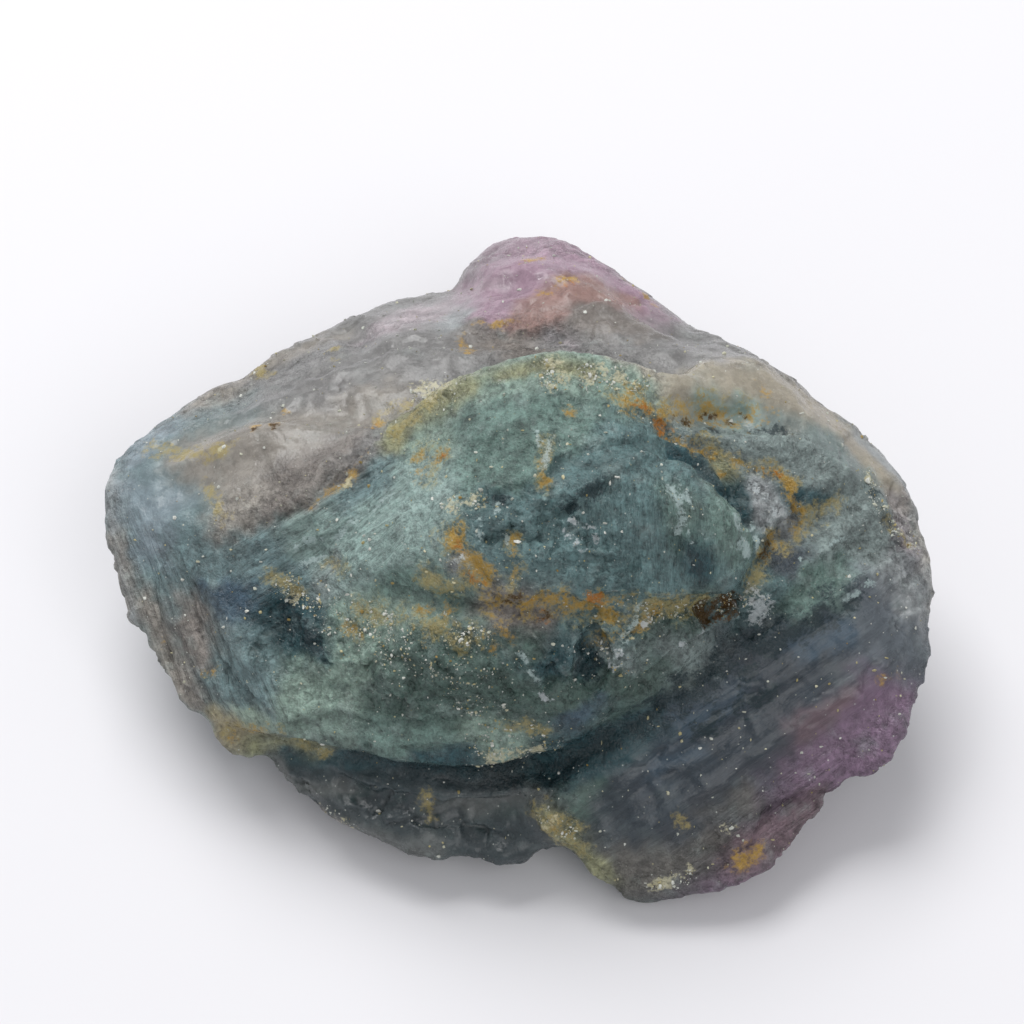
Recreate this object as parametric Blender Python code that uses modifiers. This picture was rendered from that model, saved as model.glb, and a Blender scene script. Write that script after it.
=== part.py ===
"""A rough chunk of banded fluorite, broken on every side and lying on its widest break.

The stone is one solid. It is put together from the masses that its fractures left: each mass is
the convex hull of a few corners, and the masses are fused under one skin whose edges are worn
round. Furrows, ridges and shell-like hollows are then pressed along the skin's own normals, a
low unevenness goes over all of it, and the underside is cut flat where the stone rests.
"""

import math

import bmesh
import bpy
from mathutils import Vector, noise
from mathutils.bvhtree import BVHTree
from mathutils.kdtree import KDTree

# Lengths in this script are millimetres until the mesh is finished. MM turns them into metres.
MM = 0.001

# Driving dimensions of the stone: its size over all, to which the finished shape is fitted.
LENGTH = 61.5
DEPTH = 52.5
HEIGHT = 26.5

# How the skin is made.
VOXEL = 0.6
WEAR_PASSES = 9
WEAR_STRENGTH = 0.6
WORN_AWAY = 0.3
TRIANGLES = 9500

# The rest face is cut this far above the lowest corners, and corners this close to the cut join it.
REST_CUT = 0.6
CUT_GRIP = 0.02

# A pressed line is laid in steps of this length. It fades to this strength over this share of each end.
LINE_STEP = 0.5
END_STRENGTH = 0.2
END_SHARE = 0.25

# Edges that turn more than this stay crisp.
CRISP_ANGLE = math.radians(40)

# Each mass as its corners (x, y, z). X runs left to right, Y away from the front, Z up from the rest.
MASSES = {
    # The unbroken middle that every other mass stands on.
    "heart": [
        (-12, -8, 0), (-10, 7, 0), (-4, -12, 0), (10, -13, 0), (16, -7, 0), (14, 4, 0), (6, 9, 0),
        (-5, 10, 0), (-19, -9, 9), (-17, 9, 10), (0, -16, 9), (16, -13, 9), (23, -6, 10), (22, 7, 10),
        (8, 17, 10), (-8, 16, 10), (-10, -4, 17), (-8, 6, 17), (10, -6, 17), (12, 5, 17),
    ],
    # The pale lobe at the left and the steep face below it.
    "left_lobe": [
        (-30.4, 4, 13), (-29.8, 6, 12.5), (-27.8, 9.4, 11.5), (-24, 12.9, 11.5), (-19, 16.2, 12),
        (-13.5, 18.6, 12), (-29.7, -1.3, 11), (-28.4, -5.8, 9.5), (-26.6, -9.3, 8.5), (-24.3, -12, 7.5),
        (-21.5, -14, 7), (-25, -1, 16), (-19.5, -3.5, 18), (-13, -1.5, 20.2), (-19.5, 4, 18.8),
        (-9, 3.5, 20.8), (-9, 13.5, 17.8), (-13, -6.5, 17.5), (-19.4, -8.6, 14.4), (-20.6, -12.6, 10.6),
        (-13, -14, 9), (-6, -6, 16), (-16, 6, 3.4), (-17, -6, 3), (-2, 9, 0.5), (-2, -8, 0),
    ],
    # The shelf behind the crest, between the lobe and the knob.
    "back_shelf": [
        (-19, 16, 11.5), (-13.5, 18.6, 12.3), (-9, 21.6, 12), (-6, 22.8, 11.5), (0, 24, 12), (10.6, 19.6, 13),
        (14, 16.8, 13.5), (-16, 6, 18.8), (-9, 4, 20.5), (-8, 12.5, 18.4), (2, 12, 19.4), (12, 11, 20),
        (12, 4, 20), (-12, 9, 2.4), (9, 10, 1.8), (-8, 17, 5.6), (8, 17, 5.6), (0, -4, 0),
    ],
    # The purple knob at the back.
    "back_knob": [
        (-5, 22.6, 12), (-4, 24.6, 12), (-2, 26.4, 12), (0, 27.1, 12), (3, 26.6, 13), (5.9, 24.6, 13),
        (10, 20.4, 13), (14, 16.8, 13.5), (0, 24, 6), (6, 22, 6), (-3, 21, 16), (3, 22, 17), (8, 18.5, 17),
        (-4, 12, 18.6), (5, 11, 19.8), (11, 11, 19.8), (-3, 11, 1.8), (6, 11, 1.8), (0, 4, 0),
    ],
    # The fawn shoulder that runs round the right side.
    "right_shoulder": [
        (14, 17, 14), (17, 14.7, 14.8), (21.2, 11.2, 15.8), (25.6, 7.8, 14.8), (28.9, 4, 13.8),
        (30.5, -0.8, 12.8), (30.8, -5, 12), (29.7, -10, 10), (13, 8, 22.3), (17.5, 10, 20), (21, 6, 19.2),
        (24.5, 1.5, 17.8), (26.5, -3, 15.5), (20.5, -8, 16.2), (14.5, -9.5, 16.5), (10, 4, 21.4),
        (13, 0, 20.4), (12, -6, 18.5), (16, 5, 2.2), (22, -8, 3.4), (8, 8, 1), (8, -10, 0),
    ],
    # The teal dome, whose back edge is the crest.
    "dome": [
        (-9, 3.5, 21), (-5.5, 6, 23), (-1.5, 6.6, 25), (2.5, 7, 26), (5, 6.6, 26), (7.5, 6, 25),
        (13, 6.8, 22.8), (0, -1, 26.6), (6, -3, 25.6), (10, 1, 23.6), (-5, -7.5, 23.5), (3, -9, 24),
        (10, -6, 22), (-5.5, -9.5, 20.5), (-15, -7, 17.5), (0, -11.5, 21), (6, -11, 20.5), (12, -9.5, 18),
        (-10, 4, 8), (12, 6, 8), (-10, -8, 8), (12, -8, 8),
    ],
    # The rounded swell at the right of the dome.
    "swell": [
        (-3, -7, 24.4), (0.5, -5.5, 25.6), (4, -3.4, 26.2), (8, -1.2, 25.9), (12.6, -0.8, 24.4),
        (16, -2.6, 21.8), (17.4, -5.4, 19.8), (16, -8.8, 18.4), (10, -10.8, 20.4), (3, -10.6, 22),
        (-3, -9.6, 21.8), (9, -5.5, 25.4), (14, -5, 23.2), (0, -4, 12), (15, -4, 12),
    ],
    # The steep front below the rust-stained crease.
    "front_mass": [
        (-13.5, -8.3, 17), (-5.5, -10, 20), (0, -12, 20.6), (6, -11.8, 20.2), (12.5, -10.3, 18),
        (-14.6, -12, 14.4), (-5, -14.2, 18), (2.5, -15, 17.6), (8.5, -13, 17), (-20, -14.8, 8.6),
        (-21, -12, 10), (-13.5, -16.6, 9.5), (-8.5, -18, 10), (-3.5, -18.6, 9.6), (0, -18.4, 10),
        (3.5, -17.6, 11), (9, -14.5, 13), (14.5, -10.7, 15), (-16, -12, 5), (-8, -14, 6), (0, -14, 6),
        (8, -10, 6), (-14, 0, 8), (8, 0, 10),
    ],
    # The dark ledge under the front.
    "lower_ledge": [
        (-18.5, -14.6, 5), (-17, -16.8, 4.6), (-14.5, -19.2, 4.5), (-10, -21.3, 4.5), (-5.5, -22.6, 4.2),
        (-1.3, -22.9, 4.2), (2.4, -22.1, 4.5), (4, -20, 4), (-17, -13, 8.4), (-10, -17.5, 8.8),
        (0, -18.4, 8.8), (4, -18, 8), (-12, -13, 2.2), (-6, -17, 1.6), (2, -18, 1.6), (6, -8, 0),
        (-10, -6, 0),
    ],
    # The wedge at the lower right, whose long sloping face is a cleavage plane.
    "cleavage_wedge": [
        (1, -19, 8.6), (9, -14.2, 12.8), (14.5, -10.7, 14.8), (20.5, -8, 15.4), (26.5, -3, 14.4),
        (1.2, -21.3, 7.8), (2.6, -22.6, 6.2), (7.2, -25.2, 2.8), (9.5, -25.3, 2.5), (12.5, -24, 3.2),
        (16.5, -23.6, 4), (19, -22.6, 4.4), (22.6, -19.9, 6), (25.3, -18, 7), (27.6, -15.8, 8),
        (28.4, -13.5, 8.4), (28.6, -11.5, 9), (30.6, -7.6, 10.6), (30.9, -5.5, 11.5), (8, -21, 1),
        (17, -15, 1.6), (22, -8, 3.4), (2, -12, 0), (14, 0, 0),
    ],
    # The small amber knob at the lower left.
    "amber_nub": [
        (-22.9, -12.4, 7.6), (-22.4, -14, 6.8), (-21, -15.3, 6.2), (-19.4, -15.6, 5.8), (-17.8, -14.4, 6),
        (-18.6, -12.4, 7.8), (-21.6, -11.6, 8.2), (-21, -12.6, 4.4), (-18.8, -12.8, 4.4), (-19, -10, 5),
    ],
}


# Lines pressed into the skin or raised from it: the points that each one follows, its half width,
# and how deep it goes. A negative depth is a ridge. The points only need to lie near the skin.
LINES = {
    # The crease with rust in it, between the dome and the steep front.
    "rust_crease": ([
        (-10, -9.2, 18.5), (-4, -10.2, 19.6), (1, -11, 20), (6, -10.8, 20), (14.5, -9.9, 18),
    ], 1.7, 0.5),
    # The cleft that parts the swell from the right shoulder.
    "right_cleft": ([
        (14.6, -9.6, 17.5), (17.2, -6.5, 17.5), (19.8, -4, 17.5), (22.9, -0.7, 17), (26, 1.7, 16),
    ], 2, 0.8),
    "swell_arc": ([
        (8.8, 2.4, 24.5), (11, 1.6, 24), (13.5, -0.4, 23), (16, -2.4, 21.5), (18, -4.4, 19),
    ], 1.9, 0.8),
    # The long hollow under the crest at the right, and the ridge below it.
    "crest_hollow": ([(8.9, 3.8, 23.5), (13.3, 4.4, 21.8), (18.5, 4.8, 20.5)], 1.8, 0.9),
    "shoulder_ridge": ([(12, 2.6, 22.6), (17, 2.4, 20.6), (23, 3.4, 18.4)], 1.4, -0.5),
    "crest_ridge": ([
        (-8.9, 3.6, 21), (-5.6, 5.7, 23), (-1.3, 6.4, 25), (2.3, 6.9, 26), (7.4, 6.2, 25),
        (13.3, 7.4, 23),
    ], 1.8, -0.25),
    # The lobe's edge stands over the pale slope in front of it.
    "lobe_edge": ([
        (-8.9, 3.4, 21), (-12.2, 1.2, 19.7), (-15.1, -0.8, 18.7), (-20, -1.9, 17.5),
    ], 1.8, -0.35),
    "lobe_foot": ([(-8.9, 1.4, 21), (-12.2, -0.9, 19.5), (-15.1, -2.9, 18.5), (-19.5, -4, 17)], 1.7, 0.3),
    "lobe_furrow": ([
        (-25.1, 4.7, 14), (-20.6, 6.8, 16), (-16.1, 6.7, 17.5), (-11.6, 5.7, 19), (-8.6, 4.4, 20.5),
    ], 2.2, 0.7),
    "lobe_swale": ([(-27, 1.5, 14), (-22, 2.2, 16.5), (-16, 3, 18.5)], 2.4, 0.5),
    # Steps on the shelf behind the crest and on the knob.
    "shelf_step": ([(-5.8, 12.8, 18), (0.2, 13.2, 19), (6.2, 12.4, 19)], 2, 0.6),
    "shelf_notch": ([(-13.6, 18.6, 12.5), (-12, 15.4, 16), (-10.6, 12, 18)], 1.8, 0.6),
    "knob_side": ([(-5, 22.6, 12.5), (-2.6, 20, 16.5), (1.4, 18.2, 17.5)], 2, 0.7),
    "knob_slope": ([(6.3, 20.4, 16), (10, 15.7, 17), (13.7, 13.5, 17.5)], 2.2, 0.6),
    # The undercut between the steep front and what lies under it.
    "undercut": ([
        (-19.6, -14.9, 8), (-13.7, -16.4, 8.5), (-8.5, -17.7, 8.6), (-2.7, -17.9, 8.6), (2.6, -17.7, 9.2),
        (8.9, -14.3, 12.3),
    ], 1.9, 1.2),
    "wedge_head": ([
        (8.9, -14.2, 12.5), (14.7, -10.4, 14.5), (20.5, -6.8, 15.5), (26.7, -1.2, 14.5),
    ], 1.7, 0.8),
    # A dark square notch in the steep front, and steps beside it.
    "front_notch": ([(4.9, -11.6, 18.6), (5.2, -13.2, 15.4)], 1.5, 1.2),
    "front_step": ([(-13.6, -12.9, 12), (-7, -14.5, 13), (0.2, -15, 13.5), (3.6, -15.6, 13.4)], 1.7, 0.6),
    "front_rib": ([(-12, -10.6, 16), (-6.6, -12.6, 16.4), (-1.4, -14.2, 16)], 1.5, -0.5),
    # Long low ribs down the cleavage face.
    "wedge_furrow_high": ([
        (6, -20.9, 7), (13.3, -15.7, 9.5), (20.6, -11.5, 11), (27.4, -7.6, 11.5),
    ], 1.6, 0.3),
    "wedge_rib": ([(7.6, -22, 6), (15, -17.2, 8.6), (22, -12.8, 10), (27.8, -9.2, 10.4)], 1.5, -0.25),
    "wedge_furrow_low": ([
        (9.6, -22.8, 5.5), (16.2, -18.8, 7.5), (22.9, -14.3, 8.5), (28.2, -10.4, 9),
    ], 1.5, 0.3),
    # Upright furrows down the steep left face.
    "left_furrow_outer": ([(-27.9, -0.8, 13.4), (-26.6, -6.2, 10.8), (-23.6, -11, 8.8)], 1.5, 0.5),
    "left_furrow_inner": ([(-25.2, -3.1, 14.6), (-23.2, -7.9, 12.4), (-20, -11.8, 10.4)], 1.7, 0.6),
    "left_rib": ([(-22.6, -4.6, 15), (-20.6, -8.6, 13.6), (-17.6, -12, 11.6)], 1.6, -0.5),
    # Ledges on the dark part under the front.
    "ledge_step": ([(-17, -15.6, 6.6), (-12, -18.4, 6.8), (-6, -20, 6.8), (0, -20.4, 6.8)], 1.4, 0.6),
    # Steps, ribs and furrows round the back, the two ends and the underside.
    "back_step_left": ([(-27, 9, 8), (-20, 14, 7), (-12, 17, 7)], 2, 0.9),
    "back_step_right": ([(8, 21, 8), (16, 14, 7.5), (24, 7, 8)], 2.1, 0.9),
    "back_rib": ([(-16, 16.4, 10), (-8, 19.6, 8.6), (0, 22, 8)], 1.6, -0.6),
    "right_step": ([(29, 2, 8), (28.6, -5, 6.6), (26, -12, 4.8)], 1.8, 0.8),
    "left_step": ([(-27, 4, 7), (-26, -3, 6), (-23, -9, 4.6)], 1.8, 0.8),
    "under_rib_right": ([(20, 2, 2), (24, 3, 7), (28, 3, 11)], 1.8, -0.6),
    "under_rib_back": ([(4, 14, 2), (5, 19, 6), (5, 24, 11)], 1.8, -0.6),
    "under_furrow_back": ([(-10, 12, 2), (-12, 14, 6), (-14, 17, 10)], 1.8, 0.8),
    "under_furrow_left": ([(-18, -2, 1.6), (-23, -1, 5), (-28, 1, 10)], 1.8, 0.7),
}

# Shell-like hollows that flakes left where they broke off: centre, radius and depth.
HOLLOWS = {
    "rim_chip_right": ((30.4, -6.6, 11), 2.8, 0.5),
    "rim_chip_low": ((28.6, -12.6, 8.6), 2.8, 0.6),
    "rim_chip_end": ((24, -19, 6.6), 3, 0.6),
    "rim_chip_foot": ((19, -22.4, 4.4), 2.8, 0.5),
    "wedge_break": ((20.6, -17.8, 5.6), 3.4, 0.7),
    "wedge_corner": ((4.4, -22.4, 6.4), 2.6, 0.7),
    "shoulder_dish": ((20, -2.6, 18.4), 3.4, 0.3),
    "right_dish": ((26, -2.6, 15.4), 3.2, 0.3),
    "dome_dish": ((-2, -3, 25), 4.4, 0.7),
    "dome_hollow": ((4, 2.4, 25.4), 3.4, 0.5),
    "slope_dish": ((-14.5, -6, 17.5), 4, 0.8),
    "front_dish": ((-14, -13, 11), 3.6, 0.8),
    "front_dish_small": ((-2, -16, 12), 2.6, 0.7),
    "notch_dish": ((9.4, -12.4, 15.6), 2.8, 0.9),
    "lobe_dish": ((-21, 9.4, 15), 4, 0.6),
    "shelf_dish": ((-3.6, 18, 17), 3.4, 0.5),
    "knob_dish": ((3.4, 22, 16.6), 3.4, 0.6),
    "ledge_dish": ((-3, -21.6, 5), 3.4, 0.7),
    "back_dish_left": ((-20, 12, 6), 6, 1.3),
    "back_dish_middle": ((2, 20, 6), 5, 1.1),
    "back_dish_right": ((17, 13, 8), 6.5, 1.4),
    "right_dish_low": ((26, -2, 6), 5.5, 1.2),
    "left_dish_low": ((-24, 0, 5), 5, 1.1),
    "under_dish_left": ((-22, -8, 3), 4, 0.9),
    "under_dish_front": ((16, -20, 1.4), 4, 0.8),
    "under_dish_right": ((20, 0, 3), 4.5, 0.9),
    "under_dish_back": ((-4, 13, 3), 4.5, 0.9),
}

# The low unevenness of a broken surface: size of its swells across, and their height.
SWELLS = [(11, 0.55), (5, 0.3), (2.6, 0.16)]


def clear_scene():
    """Removes what the opened file holds."""
    for old in list(bpy.data.objects):
        bpy.data.objects.remove(old, do_unlink=True)


def add_mass(bm, corners):
    """Adds the convex hull of a mass's corners to the mesh."""
    made = [bm.verts.new(corner) for corner in corners]
    hull = bmesh.ops.convex_hull(bm, input=made)
    buried = hull["geom_interior"] + hull["geom_unused"]
    inside = {piece for piece in buried if isinstance(piece, bmesh.types.BMVert)}
    bmesh.ops.delete(bm, geom=list(inside), context="VERTS")


def joined_masses(collection):
    """All the masses in one object, still passing through each other."""
    bm = bmesh.new()
    for corners in MASSES.values():
        add_mass(bm, corners)
    mesh = bpy.data.meshes.new("fluorite")
    bm.to_mesh(mesh)
    bm.free()
    stone = bpy.data.objects.new("fluorite", mesh)
    collection.objects.link(stone)
    return stone


def apply_modifiers(obj):
    """Makes the object's evaluated mesh its own."""
    graph = bpy.context.evaluated_depsgraph_get()
    made = bpy.data.meshes.new_from_object(obj.evaluated_get(graph))
    obj.modifiers.clear()
    obj.data = made


def fuse_and_wear(stone):
    """One skin over all the masses, with its edges worn round."""
    remesh = stone.modifiers.new("fuse", "REMESH")
    remesh.mode = "VOXEL"
    remesh.voxel_size = VOXEL
    smooth = stone.modifiers.new("wear", "SMOOTH")
    smooth.factor = WEAR_STRENGTH
    smooth.iterations = WEAR_PASSES
    apply_modifiers(stone)


def fade(reach):
    """1 on a line or at a centre, falling smoothly to 0 at its edge."""
    return 1 - 3 * reach ** 2 + 2 * reach ** 3


def along(points):
    """Places a step apart along a line, each with how strong the line is there."""
    lengths = [(b - a).length for a, b in zip(points, points[1:])]
    whole = sum(lengths)
    done = 0
    for a, b, length in zip(points, points[1:], lengths):
        steps = math.ceil(length / LINE_STEP)
        for step in range(steps):
            share = (done + length * step / steps) / whole
            to_end = min(share, 1 - share) / END_SHARE
            yield a.lerp(b, step / steps), min(1, to_end + END_STRENGTH)
        done += length


def press_relief(stone):
    """Presses the lines and hollows into the skin, and gives it the unevenness of a break."""
    mesh = stone.data
    skin = BVHTree.FromPolygons([v.co for v in mesh.vertices], [p.vertices for p in mesh.polygons])
    corners = KDTree(len(mesh.vertices))
    for vertex in mesh.vertices:
        corners.insert(vertex.co, vertex.index)
    corners.balance()
    moves = [WORN_AWAY] * len(mesh.vertices)
    for points, half_width, depth in LINES.values():
        on_skin = [skin.find_nearest(Vector(point))[0] for point in points]
        pressed = {}
        for place, strength in along(on_skin):
            for _, index, distance in corners.find_range(place, half_width):
                pressed[index] = max(pressed.get(index, 0), strength * fade(distance / half_width))
        for index, share in pressed.items():
            moves[index] -= share * depth
    for centre, radius, depth in HOLLOWS.values():
        on_skin = skin.find_nearest(Vector(centre))[0]
        for _, index, distance in corners.find_range(on_skin, radius):
            moves[index] -= depth * fade(distance / radius)
    for size, height in SWELLS:
        for vertex in mesh.vertices:
            moves[vertex.index] += height * noise.noise(vertex.co / size)
    normals = [vertex.normal.copy() for vertex in mesh.vertices]
    for vertex, normal, move in zip(mesh.vertices, normals, moves):
        vertex.co += normal * move


def thin_out(stone):
    """Keeps the triangles that the shape needs."""
    decimate = stone.modifiers.new("thin_out", "DECIMATE")
    decimate.ratio = TRIANGLES / (2 * len(stone.data.polygons))
    apply_modifiers(stone)


def cut_rest_face(stone):
    """Cuts the underside flat, and closes it with the face that the stone rests on."""
    bm = bmesh.new()
    bm.from_mesh(stone.data)
    everything = bm.verts[:] + bm.edges[:] + bm.faces[:]
    cut = bmesh.ops.bisect_plane(
        bm, geom=everything, dist=CUT_GRIP, plane_co=(0, 0, REST_CUT), plane_no=(0, 0, 1), clear_inner=True)
    rim = [piece for piece in cut["geom_cut"] if isinstance(piece, bmesh.types.BMEdge)]
    bmesh.ops.holes_fill(bm, edges=rim, sides=0)
    bmesh.ops.triangulate(bm, faces=bm.faces[:])
    bmesh.ops.recalc_face_normals(bm, faces=bm.faces[:])
    bm.to_mesh(stone.data)
    bm.free()


def settle(stone):
    """Fits the stone to its size, stands it over the origin on its rest face, and turns it into metres."""
    spots = [vertex.co for vertex in stone.data.vertices]
    low = Vector([min(spot[axis] for spot in spots) for axis in range(3)])
    high = Vector([max(spot[axis] for spot in spots) for axis in range(3)])
    foot = Vector(((low.x + high.x) / 2, (low.y + high.y) / 2, low.z))
    fit = Vector((LENGTH / (high.x - low.x), DEPTH / (high.y - low.y), HEIGHT / (high.z - low.z)))
    for vertex in stone.data.vertices:
        vertex.co = (vertex.co - foot) * fit * MM


def banded_fluorite():
    """Teal-grey glassy stone with a dull broken surface."""
    material = bpy.data.materials.new("banded_fluorite")
    material.use_nodes = True
    surface = material.node_tree.nodes["Principled BSDF"]
    surface.inputs["Base Color"].default_value = (0.14, 0.2, 0.21, 1)
    surface.inputs["Roughness"].default_value = 0.45
    surface.inputs["Metallic"].default_value = 0
    surface.inputs["IOR"].default_value = 1.434
    return material


def main():
    clear_scene()
    collection = bpy.data.collections.new("raw_fluorite")
    bpy.context.scene.collection.children.link(collection)
    stone = joined_masses(collection)
    fuse_and_wear(stone)
    press_relief(stone)
    thin_out(stone)
    cut_rest_face(stone)
    settle(stone)
    stone.data.materials.clear()
    stone.data.materials.append(banded_fluorite())
    stone.data.shade_smooth()
    stone.data.set_sharp_from_angle(angle=CRISP_ANGLE)


main()
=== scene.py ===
"""A chunk of raw banded fluorite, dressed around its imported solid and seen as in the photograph."""

import math

import bmesh
import bpy
import numpy as np
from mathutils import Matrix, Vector, noise
from mathutils.bvhtree import BVHTree


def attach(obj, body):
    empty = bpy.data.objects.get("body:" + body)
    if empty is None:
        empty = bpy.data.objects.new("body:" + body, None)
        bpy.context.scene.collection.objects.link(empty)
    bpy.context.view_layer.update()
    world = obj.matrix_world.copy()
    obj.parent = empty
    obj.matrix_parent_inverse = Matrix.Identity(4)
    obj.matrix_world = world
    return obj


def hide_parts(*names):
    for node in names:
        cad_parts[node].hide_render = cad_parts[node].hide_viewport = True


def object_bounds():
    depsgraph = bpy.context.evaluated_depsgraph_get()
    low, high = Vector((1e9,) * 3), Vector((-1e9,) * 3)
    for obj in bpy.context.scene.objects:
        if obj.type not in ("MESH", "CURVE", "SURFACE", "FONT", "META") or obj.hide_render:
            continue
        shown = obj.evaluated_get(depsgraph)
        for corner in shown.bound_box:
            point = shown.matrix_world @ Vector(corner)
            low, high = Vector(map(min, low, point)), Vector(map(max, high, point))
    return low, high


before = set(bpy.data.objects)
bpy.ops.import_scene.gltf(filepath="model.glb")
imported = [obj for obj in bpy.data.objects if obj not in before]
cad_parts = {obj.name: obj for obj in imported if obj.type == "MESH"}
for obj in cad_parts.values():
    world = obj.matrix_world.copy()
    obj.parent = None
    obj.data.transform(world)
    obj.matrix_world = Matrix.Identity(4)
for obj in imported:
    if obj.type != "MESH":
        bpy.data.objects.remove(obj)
cad_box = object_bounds()

# The view: the stone lies on a pale table, and is seen from its front, well above it, from close by.
# Places are written in millimetres of the stone's own frame, and MM turns them into metres.
MM = 0.001
VIEW_TARGET = Vector((-0.45, 1.04, 11.4))
VIEW_ELEVATION = math.radians(58)
VIEW_DISTANCE = 300
PIXELS_PER_MM = 13.4
PHOTO_SIDE = 1024
SENSOR = 36
NEAREST_SHOWN = 0.01
FOCAL_PIXELS = PIXELS_PER_MM * VIEW_DISTANCE

to_viewer = Vector((0, -math.cos(VIEW_ELEVATION), math.sin(VIEW_ELEVATION)))
view_right = Vector((1, 0, 0))
view_up = to_viewer.cross(view_right)
eye = VIEW_TARGET + to_viewer * VIEW_DISTANCE

scene = bpy.context.scene
camera_data = bpy.data.cameras.new("view")
camera_data.sensor_width = SENSOR
camera_data.lens = SENSOR * FOCAL_PIXELS / PHOTO_SIDE
camera_data.clip_start = NEAREST_SHOWN
camera = bpy.data.objects.new("view", camera_data)
camera.location = eye * MM
camera.rotation_euler = to_viewer.to_track_quat("Z", "Y").to_euler()
scene.collection.objects.link(camera)
scene.camera = camera
scene.view_settings.view_transform = "Standard"


def ray_through(pixel):
    """The direction in which a pixel of the photograph looks."""
    right = (pixel[0] - PHOTO_SIDE / 2) / FOCAL_PIXELS
    up = (PHOTO_SIDE / 2 - pixel[1]) / FOCAL_PIXELS
    return (view_right * right + view_up * up - to_viewer).normalized()


def pixels_of(places):
    """The pixels of the photograph at which places show."""
    from_eye = places - np.array(eye)
    depth = -(from_eye @ np.array(to_viewer))
    right = from_eye @ np.array(view_right) / depth
    up = from_eye @ np.array(view_up) / depth
    return np.stack([PHOTO_SIDE / 2 + FOCAL_PIXELS * right, PHOTO_SIDE / 2 - FOCAL_PIXELS * up], axis=1)


# The stone: one chunk of fluorite, broken on every side. It grew as one mass, and hammer blows and
# its own weight split it, partly along cleavage planes and partly as shell-like and hackly breaks.
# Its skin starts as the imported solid's, is made finer, and takes the small relief of those breaks.
SKIN_STEP = 0.24
EDGE_WEAR = 0.5
EDGE_WEAR_PASSES = 14
MOST_TRIANGLES = 196000


def mesh_places(mesh):
    """The places of a mesh's points, as an array."""
    flat = np.empty(len(mesh.vertices) * 3)
    mesh.vertices.foreach_get("co", flat)
    return flat.reshape(-1, 3)


def mesh_normals(mesh):
    """The outward directions at a mesh's points, as an array."""
    flat = np.empty(len(mesh.vertices) * 3)
    mesh.vertex_normals.foreach_get("vector", flat)
    return flat.reshape(-1, 3)


def set_places(mesh, places):
    """Moves a mesh's points."""
    mesh.vertices.foreach_set("co", places.astype(np.float32).ravel())
    mesh.update()


def apply_modifiers(piece):
    """Makes the piece's evaluated mesh its own."""
    made = bpy.data.meshes.new_from_object(piece.evaluated_get(bpy.context.evaluated_depsgraph_get()))
    piece.modifiers.clear()
    piece.data = made


def tree_of(mesh):
    """A mesh's faces, sorted for finding the nearest place on them."""
    return BVHTree.FromPolygons(
        [point.co for point in mesh.vertices], [face.vertices for face in mesh.polygons])


stone = bpy.data.objects.new("fluorite_stone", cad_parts["fluorite"].data.copy())
scene.collection.objects.link(stone)
set_places(stone.data, mesh_places(stone.data) / MM)
finer = stone.modifiers.new("finer_skin", "REMESH")
finer.mode = "VOXEL"
finer.voxel_size = SKIN_STEP
worn = stone.modifiers.new("worn_edges", "SMOOTH")
worn.factor = EDGE_WEAR
worn.iterations = EDGE_WEAR_PASSES
solid_tree = tree_of(stone.data)
apply_modifiers(stone)

# The smoothing takes most from the thin edges. What they lost is given back, so the outline stays true.
GIVEN_BACK = 1.6
DEEPEST_LOSS = 1
places = mesh_places(stone.data)
nearest_solid = [solid_tree.find_nearest(Vector(place)) for place in places]
lost = np.array([(near[0] - Vector(place)).dot(near[1]) for place, near in zip(places, nearest_solid)])
given = GIVEN_BACK * np.clip(lost, 0, DEEPEST_LOSS)
set_places(stone.data, places + mesh_normals(stone.data) * given[:, None])

skin_tree = tree_of(stone.data)


NEAREST_TRIES = 12
TINY = 1e-9


def on_stone(spot):
    """The place on the skin that shows at a pixel, or that is nearest to a place in millimetres."""
    if len(spot) == 3:
        return skin_tree.find_nearest(Vector(spot))[0]
    ray = ray_through(spot)
    struck = skin_tree.ray_cast(eye, ray)[0]
    if struck:
        return struck
    nearest = VIEW_TARGET
    for _ in range(NEAREST_TRIES):
        nearest = skin_tree.find_nearest(eye + ray * (nearest - eye).dot(ray))[0]
    return nearest


def route(spots):
    """Places along a line that runs over the skin through the spots, about a millimetre apart."""
    ends = [on_stone(spot) for spot in spots]
    if len(ends) == 1:
        return ends
    places = []
    for start, end in zip(ends, ends[1:]):
        steps = max(1, round((end - start).length))
        places += [skin_tree.find_nearest(start.lerp(end, step / steps))[0] for step in range(steps)]
    return places + ends[-1:]


def distance_to(places, line):
    """How far each place is from a line."""
    if len(line) == 1:
        return np.linalg.norm(places - np.array(line[0]), axis=1)
    best = np.full(len(places), np.inf)
    for start, end in zip(line, line[1:]):
        start, along = np.array(start), np.array(end - start)
        share = np.clip((places - start) @ along / max(along @ along, TINY), 0, 1)
        best = np.minimum(best, np.linalg.norm(places - start - share[:, None] * along, axis=1))
    return best


def swells(places, size, seed=0):
    """Smooth unevenness at each place, from about -1 to 1, with swells of this size in millimetres."""
    return np.array([noise.noise(Vector(place)) for place in places / size + seed])


def eased(values):
    """Values held between 0 and 1, with soft ends."""
    held = np.clip(values, 0, 1)
    return held * held * (3 - 2 * held)


def covered(places, strokes):
    """How well strokes cover each place: 1 on a stroke's line, 0 at its half width and beyond."""
    cover = np.zeros(len(places))
    for half_width, spots in strokes:
        cover = np.maximum(cover, 1 - distance_to(places, route(spots)) / half_width)
    return cover


def grain_frame(along):
    """Three directions as rows: along a grain, and two across it."""
    along = Vector(along).normalized()
    across = along.orthogonal().normalized()
    return np.array([along, across, along.cross(across)])


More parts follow.
